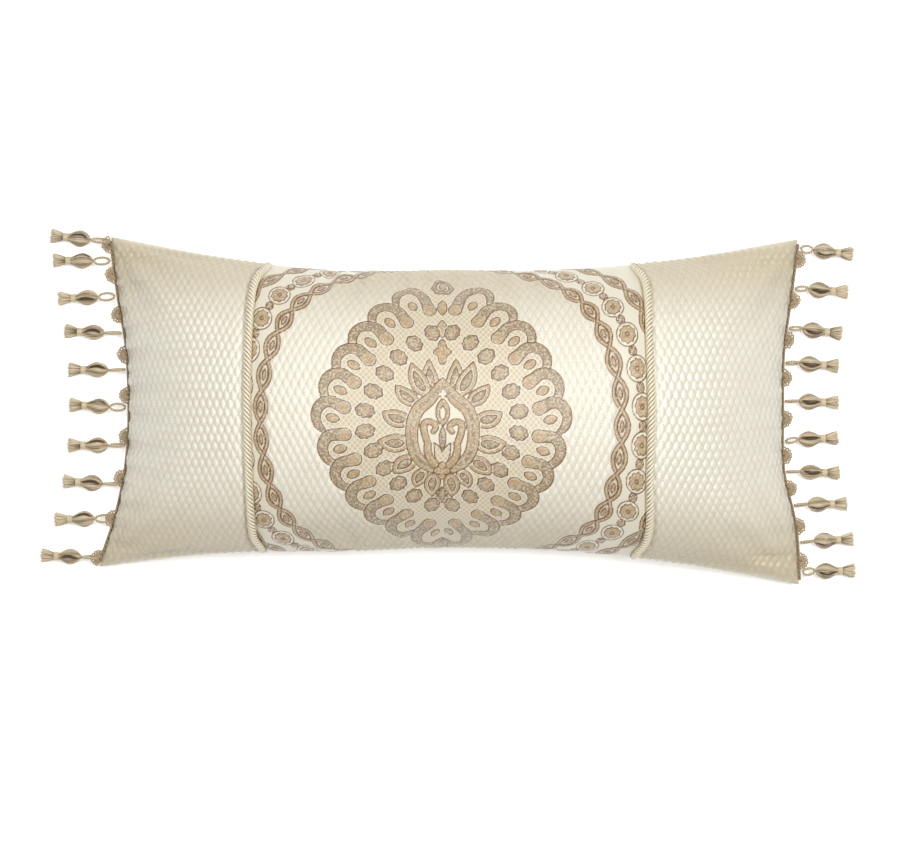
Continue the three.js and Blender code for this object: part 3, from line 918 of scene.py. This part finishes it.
def rope(bundle, path, radius, up, strands, pitch, sides=8, shade=None):
    """Strands laid round a path, with painted light on their backs and painted shade where they meet."""
    across, above = path_frame(path, up)
    thick = radius * STRAND_SHARE[strands]
    turn = np.arange(sides) * 2 * math.pi / sides
    for strand in range(strands):
        lay = 2 * math.pi * (travel(path) / pitch + strand / strands)
        outward = np.cos(lay)[:, None] * across + np.sin(lay)[:, None] * above
        facing = (1 + np.cos(-turn[None, :] - lay[:, None])) / 2
        # Painted light where a strand faces out, painted shade where it meets its neighbours, unless fixed
        # tones are given.
        tone = shade[strand] if shade else facing ** STRAND_SHADE_POWER[strands]
        tube(bundle, path + outward * (radius - thick), thick, up, sides, tone)


# ---- Cords over the panel seams ----
CORD_RADIUS, CORD_LIFT, CORD_REACH, CORD_PITCH = 3.1, 2.9, 0.98, 17
CORD_SINK, CORD_TUCK = 2.6, 40
CORD_STEP = 0.7
CORD_SIDES = 10
SEAM_POINTS, SEAM_PROBE = 400, 4
LIP_DEPTH, LIP_TOP, LIP_THICK, LIP_REACH = 4.2, 0.3, 0.4, 0.94
LIP_TONE = 0.6


def seam_line(side, reach):
    """The settled front along a panel seam, from the bottom edge up, and the way out of the cloth there."""
    vs = np.linspace(-reach, reach, SEAM_POINTS)
    us = side * SEAM_U + np.array([-1, 0, 1]) * SEAM_PROBE / HALF[0]
    patch = surface(FRONT, us, vs)
    return patch[:, 1], grid_normals(patch)[:, 1]


def panel_cords():
    material = yarn_material("cord_rayon", CORD_LIGHT, CORD_SHADOW, 0.35)
    for name, side in (("left", -1), ("right", 1)):
        line, out = seam_line(side, CORD_REACH)
        from_end = np.minimum(travel(line), travel(line)[-1] - travel(line))
        lift = CORD_LIFT - CORD_VALLEY - CORD_SINK * smoothstep(CORD_TUCK, 0, from_end)
        path = even(line + out * lift[:, None], CORD_STEP)
        bundle = Bundle()
        rope(bundle, path, CORD_RADIUS, UP + path * 0, 5, -side * CORD_PITCH, CORD_SIDES)
        mesh = bundle.mesh("seam_cord_" + name)
        piece("seam_cord_" + name, mesh, material, "cord", PILLOW, "twisted_cord_" + name)
        line, out = seam_line(side, LIP_REACH)
        line = line - out * CORD_VALLEY
        across = path_frame(line, out)[0] * LIP_THICK / 2
        corners = [(1, LIP_TOP), (-1, LIP_TOP), (-1, -LIP_DEPTH), (1, -LIP_DEPTH)]
        rings = np.stack([line + across * way + out * level for way, level in corners], 1)
        strip = Bundle()
        strip.add(rings[:, ::-1], LIP_TONE)
        mesh = strip.mesh("seam_lip_" + name)
        piece("seam_lip_" + name, mesh, material, "cord", PILLOW, "cord_lip_" + name)


# ---- Fringe heading down each end ----
STATIONS = {
    "left": [136, 119, 89, 58, 27, -5, -37, -70, -99, -132],
    "right": [132, 100, 68, 40, 9, -23, -48, -75, -105, -129],
}
BRAID_OUT, BRAID_SWING, BRAID_WAVE, BRAID_YARN = 0.9, 0.8, 3.6, 0.5
BRAID_REACH, BRAID_RISE, BRAID_TONE, RIM_STEP = 0.975, 0.8, 0.75, 0.5
# Rows of petals: how many, their length and width, and the row's height.
PETAL_ROWS = ((8, 6.0, 2.3, 0.0), (6, 4.0, 2.0, 0.9), (4, 2.4, 1.6, 1.7))
PETAL_YARN, PETAL_SINK, PETAL_ARCH = 0.6, 0.6, 0.6
PETAL_SIZES, PETAL_UNEVEN = (0.88, 1.05), 0.25
ROSETTE_OUT, ROSETTE_SPREAD = 2.2, 1.5
ROSETTE_STRETCH = 1.08
DOTTED_IN, DOTTED_UP, DOTTED_RADIUS, DOTTED_PITCH, DOTTED_SHADE = 0.5, 1.2, 0.55, 3.4, (1.0, 0.1)


def rim(side):
    """The end seam, from the bottom corner to the top one, and the way out of it in plan."""
    vs = np.linspace(-BRAID_REACH, BRAID_REACH, SEAM_POINTS)
    line = (form(side + 0 * vs, vs, 1) + form(side + 0 * vs, vs, -1)) / 2
    path = even(line, RIM_STEP)
    along_rim = unit(np.gradient(path, axis=0))
    return path, unit(np.stack([along_rim[:, 1], -along_rim[:, 0], 0 * along_rim[:, 0]], -1) * side)


def braid(bundle, path, out):
    """Three yarns that weave in and out of each other along the rim."""
    for yarn in range(3):
        phase = 2 * math.pi * (travel(path) / BRAID_WAVE + yarn / 3)
        sway = out * (BRAID_OUT + BRAID_SWING * np.sin(phase))[:, None]
        rise = UP * (BRAID_YARN * BRAID_RISE * np.sin(2 * phase))[:, None]
        tube(bundle, path + sway + rise, BRAID_YARN, UP + path * 0, tone=BRAID_TONE)


def rosette(bundle, place, out, onward, rng):
    """Half a flower of looped yarn, in rows that rise towards its middle."""
    place = place + out * ROSETTE_OUT
    turn = np.linspace(0, 2 * math.pi, 20)
    for petals, long, wide, height in PETAL_ROWS:
        for angle in np.linspace(-ROSETTE_SPREAD, ROSETTE_SPREAD, petals):
            ray = math.cos(angle) * out + math.sin(angle) * onward * ROSETTE_STRETCH
            side = np.cross(UP, ray)
            size = long * rng.uniform(*PETAL_SIZES)
            tip = np.sin(turn / 2)
            loop = place + UP * (height - PETAL_SINK) + np.outer(size / 2 * (1 - np.cos(turn)), ray)
            loop = loop + np.outer(wide / 2 * np.sin(turn), side) + np.outer(PETAL_ARCH * tip, UP)
            tone = np.clip(0.3 + 0.6 * tip + rng.uniform(-PETAL_UNEVEN, PETAL_UNEVEN), 0, 1)
            tube(bundle, loop, PETAL_YARN, UP + loop * 0, tone=tone[:, None])


def fringe_headings():
    material = yarn_material("gimp_yarn", GIMP_LIGHT, GIMP_SHADOW, 0.6)
    rng = np.random.default_rng(5)
    for name, side in (("left", -1), ("right", 1)):
        path, out = rim(side)
        bundle = Bundle()
        braid(bundle, path, out)
        dotted = path + out * DOTTED_IN + UP * DOTTED_UP
        rope(bundle, dotted, DOTTED_RADIUS, UP + path * 0, 2, DOTTED_PITCH, 6, DOTTED_SHADE)
        stations = STATIONS[name]
        for high, low in zip(stations, stations[1:]):
            spot = np.argmin(np.abs(path[:, 1] - CAD_SHIFT_Y - (high + low) / 2))
            onward = unit(path[spot + 1] - path[spot - 1])
            rosette(bundle, path[spot], out[spot], onward, rng)
        mesh = bundle.mesh("fringe_" + name)
        piece("fringe_" + name, mesh, material, "fringe", PILLOW, "fringe_tape_" + name)


# ---- Tassels and the loops they hang from ----
# The bulb's outline: distances from the loop end, and the radius at each.
BULB_PLACES = (0, 1.2, 3.2, 6, 8.5, 11.5, 14.5, 17, 18.5)
BULB_RADII = (0.5, 3.0, 4.9, 6.3, 6.7, 6.0, 4.4, 3.0, 2.6)
BULB_SIDES, NECK_SIDES = 72, 28
NECK_START, NECK_END, NECK_RADIUS, NECK_WRAP = 17.4, 21.6, 3.1, 1.1
SKIRT_START, SKIRT_REACH, SKIRT_STRANDS, SKIRT_YARN, SKIRT_SIDES = 20.8, 5.9, 84, 0.62, 6
SKIRT_ROOT, SKIRT_ENDS = 2.4, (29.6, 31.3)
TURN_JITTER, FLARE_JITTER, STRAY = 0.15, 0.3, 0.25
GOLDEN_ANGLE = math.pi * (3 - math.sqrt(5))
FOLDS, FOLD_DEPTH, FLOSS_RIDGES, RIDGE_DEPTH = 6, 0.12, 26, 0.06
SLIT_DEPTH, SLIT_WIDTH, SLIT_SWING = 0.5, 0.2, 0.7
LOOP_YARN, LOOP_PITCH, LOOP_WIDEN, LOOP_STEP = 1.15, 4.2, 1.25, 0.4
LOOP_END_POINTS = 8
FLOSS_ROUGHNESS = 0.32


def turned_rings(x, turn, radius):
    """Rings round the x axis."""
    return np.stack([x + 0 * turn, radius * np.cos(turn), radius * np.sin(turn)], -1)


def floss_bulb(bundle, rng):
    """Folded floss in an onion shape, split by one deep slit, with painted shade in its folds and slit."""
    x = np.linspace(0, BULB_PLACES[-1], 30)[:, None]
    turn = np.arange(BULB_SIDES)[None, :] * 2 * math.pi / BULB_SIDES
    radius = np.interp(x, BULB_PLACES, BULB_RADII)
    share = x / BULB_PLACES[-1]
    phase, sway = rng.uniform(0, 2 * math.pi, 2)
    slit_at = math.pi / 2 + rng.uniform(-SLIT_SWING, SLIT_SWING)
    folds = 0.5 + 0.5 * np.cos(FOLDS * turn + phase + 1.5 * np.sin(3 * share + sway))
    ridges = 0.5 + 0.5 * np.cos(FLOSS_RIDGES * turn + 4 * np.sin(2 * turn + phase) + 2 * share)
    away = (turn - slit_at - 0.5 * np.sin(3 * share) + math.pi) % (2 * math.pi) - math.pi
    slit = np.exp(-((away / SLIT_WIDTH) ** 2))
    slit = slit * smoothstep(0.05, 0.3, share) * smoothstep(0.95, 0.7, share)
    hollows = FOLD_DEPTH * (1 - folds) + RIDGE_DEPTH * (1 - ridges) + SLIT_DEPTH * slit
    radius = radius * (1 - hollows)
    # Painted light on the ridges and fold crowns, painted shade in the folds and deep in the slit.
    tone = 0.2 + 0.3 * folds + 0.45 * ridges - 1.1 * slit
    bundle.add(turned_rings(x, turn, radius), tone)


def wrapped_neck(bundle):
    x = np.linspace(NECK_START, NECK_END, 44)[:, None]
    turn = np.arange(NECK_SIDES)[None, :] * 2 * math.pi / NECK_SIDES
    wrap = np.abs(np.sin(math.pi * (x / NECK_WRAP) + turn / 2))
    ends = np.sqrt(np.clip(np.minimum(x - NECK_START, NECK_END - x) * 2 + 0.3, 0, 1))
    radius = (NECK_RADIUS + 0.3 * wrap) * ends
    # Painted light on the wraps' crowns and painted shade between them.
    bundle.add(turned_rings(x, turn, radius), 0.75 + 0.4 * wrap)


def strand_skirt(bundle, rng):
    """Cut strands that flare from the neck."""
    share = np.linspace(0, 1, 7)
    for strand in range(SKIRT_STRANDS):
        spread = math.sqrt((strand + 0.5) / SKIRT_STRANDS)
        turn = strand * GOLDEN_ANGLE + rng.uniform(-TURN_JITTER, TURN_JITTER)
        end = rng.uniform(*SKIRT_ENDS)
        flare = mix(SKIRT_ROOT, SKIRT_REACH, share) * spread
        flare = flare + rng.uniform(-FLARE_JITTER, FLARE_JITTER) * share
        turn = turn + rng.uniform(-STRAY, STRAY) * share
        path = turned_rings(mix(SKIRT_START, end, share), turn, flare)
        tone = np.clip(0.15 + 0.5 * rng.uniform() + 0.5 * share, 0, 1)[:, None]
        tube(bundle, path, SKIRT_YARN, UP + path * 0, SKIRT_SIDES, tone)


def node_points(name):
    return np.array([vertex.co for vertex in frame["nodes"][name].data.vertices]) / MM


def spread_of(values):
    return values.min(), values.max()


def tassel_mesh(name, node, pivot, out, rng):
    """The detailed tassel in its CAD tassel's place."""
    bundle = Bundle()
    floss_bulb(bundle, rng)
    wrapped_neck(bundle)
    strand_skirt(bundle, rng)
    across = np.cross(UP, out)
    cad = node_points(node) - pivot
    start = pivot + out * (cad @ out).min() + across * np.mean(spread_of(cad @ across))
    start = start + UP * np.mean(spread_of(cad[:, 2]))
    ways = np.stack([out, across, UP])
    bundle.points = [start + points @ ways for points in bundle.points]
    return bundle.mesh(name)


def loop_mesh(name, node, out):
    """Two twisted yarns in an eye, as wide and as tilted as the CAD loop."""
    cad = node_points(node)
    reach = cad @ out
    order = np.argsort(reach)
    near, far = cad[order[:LOOP_END_POINTS]].mean(0), cad[order[-LOOP_END_POINTS:]].mean(0)
    line = unit(far - near)
    offset = cad - (near + far) / 2
    offset = offset - np.outer(offset @ line, line)
    wide = np.linalg.svd(offset, full_matrices=False)[2][0]
    half = np.abs(offset @ wide).max() * LOOP_WIDEN
    turn = np.linspace(0, 2 * math.pi, 60)
    length = np.linalg.norm(far - near) / 2
    path = (near + far) / 2 + np.outer(length * np.cos(turn), line) + np.outer(half * np.sin(turn), wide)
    bundle = Bundle()
    rope(bundle, even(path, LOOP_STEP), LOOP_YARN, np.cross(line, wide)[None], 2, LOOP_PITCH, 6)
    return bundle.mesh(name)


def hanging_trim():
    floss = yarn_material("tassel_floss", FLOSS_LIGHT, FLOSS_SHADOW, FLOSS_ROUGHNESS)
    rng = np.random.default_rng(11)
    for joint in frame["joints"]:
        tag = joint["child"].replace("hanging_", "")
        pivot = np.array(joint["pos_m"]) / MM
        axis = joint["axis"]
        out = unit(np.array([-axis[1], axis[0], 0.0]))
        mesh = tassel_mesh("floss_tassel_" + tag, "tassel_" + tag, pivot, out, rng)
        piece("floss_tassel_" + tag, mesh, floss, "floss", joint["child"], "tassel_" + tag)
        mesh = loop_mesh("twisted_loop_" + tag, "loop_" + tag, out)
        piece("twisted_loop_" + tag, mesh, floss, "floss", joint["child"], "loop_" + tag)


# ---- Camera, light and floor ----
CAMERA_HEIGHT = 2.4
CAMERA_AIM = (1.3, -12.9)
FRAME_WIDTH = 0.688
SEAM_LEVEL = 0.03
SENSOR = 36
KEY = {"place": (0.75, 0.24, 2.0), "size": 0.6, "watts": 33}
FILL = {"place": (-0.85, 0.36, 2.05), "size": 0.9, "watts": 24}
WORLD_LIGHT = 0.12
FLOOR_HALF, FLOOR_DROP, FLOOR_WHITE, FLOOR_GLOW = 4, 0.0002, 0.95, 0.4


def look():
    camera = bpy.data.cameras.new("camera")
    holder = bpy.data.objects.new("camera", camera)
    bpy.context.scene.collection.objects.link(holder)
    holder.location = (CAMERA_AIM[0] * MM, CAMERA_AIM[1] * MM, CAMERA_HEIGHT)
    camera.sensor_width = SENSOR
    camera.lens = camera.sensor_width * (CAMERA_HEIGHT - SEAM_LEVEL) / FRAME_WIDTH
    bpy.context.scene.camera = holder


def soft_light(name, place, size, watts):
    light = bpy.data.lights.new(name, "AREA")
    light.size = size
    light.energy = watts
    holder = bpy.data.objects.new(name, light)
    bpy.context.scene.collection.objects.link(holder)
    holder.location = place
    holder.rotation_euler = Vector(place).to_track_quat("Z", "Y").to_euler()


def studio():
    bpy.context.scene.view_settings.view_transform = "Standard"
    world = bpy.data.worlds.new("studio")
    world.use_nodes = True
    world.node_tree.nodes["Background"].inputs["Color"].default_value = (1, 1, 1, 1)
    world.node_tree.nodes["Background"].inputs["Strength"].default_value = WORLD_LIGHT
    bpy.context.scene.world = world
    soft_light("key", **KEY)
    soft_light("fill", **FILL)
    mesh = bpy.data.meshes.new("floor")
    corners = [(x * FLOOR_HALF, y * FLOOR_HALF, 0) for x, y in ((-1, -1), (1, -1), (1, 1), (-1, 1))]
    mesh.from_pydata(corners, [], [(0, 1, 2, 3)])
    floor = bpy.data.objects.new("floor", mesh)
    bpy.context.scene.collection.objects.link(floor)
    paper = Cloth("floor_paper", 0.9, specular=0.1)
    paper.colour((FLOOR_WHITE, FLOOR_WHITE, FLOOR_WHITE, 1))
    paper.shader.inputs["Emission Color"].default_value = (1, 1, 1, 1)
    paper.shader.inputs["Emission Strength"].default_value = FLOOR_GLOW
    mesh.materials.append(paper.material)
    floor.location.z = -FLOOR_DROP


look()
FRONT, BACK = settled(1), settled(-1)
cover()
pad()
panel_cords()
fringe_headings()
hanging_trim()
studio()
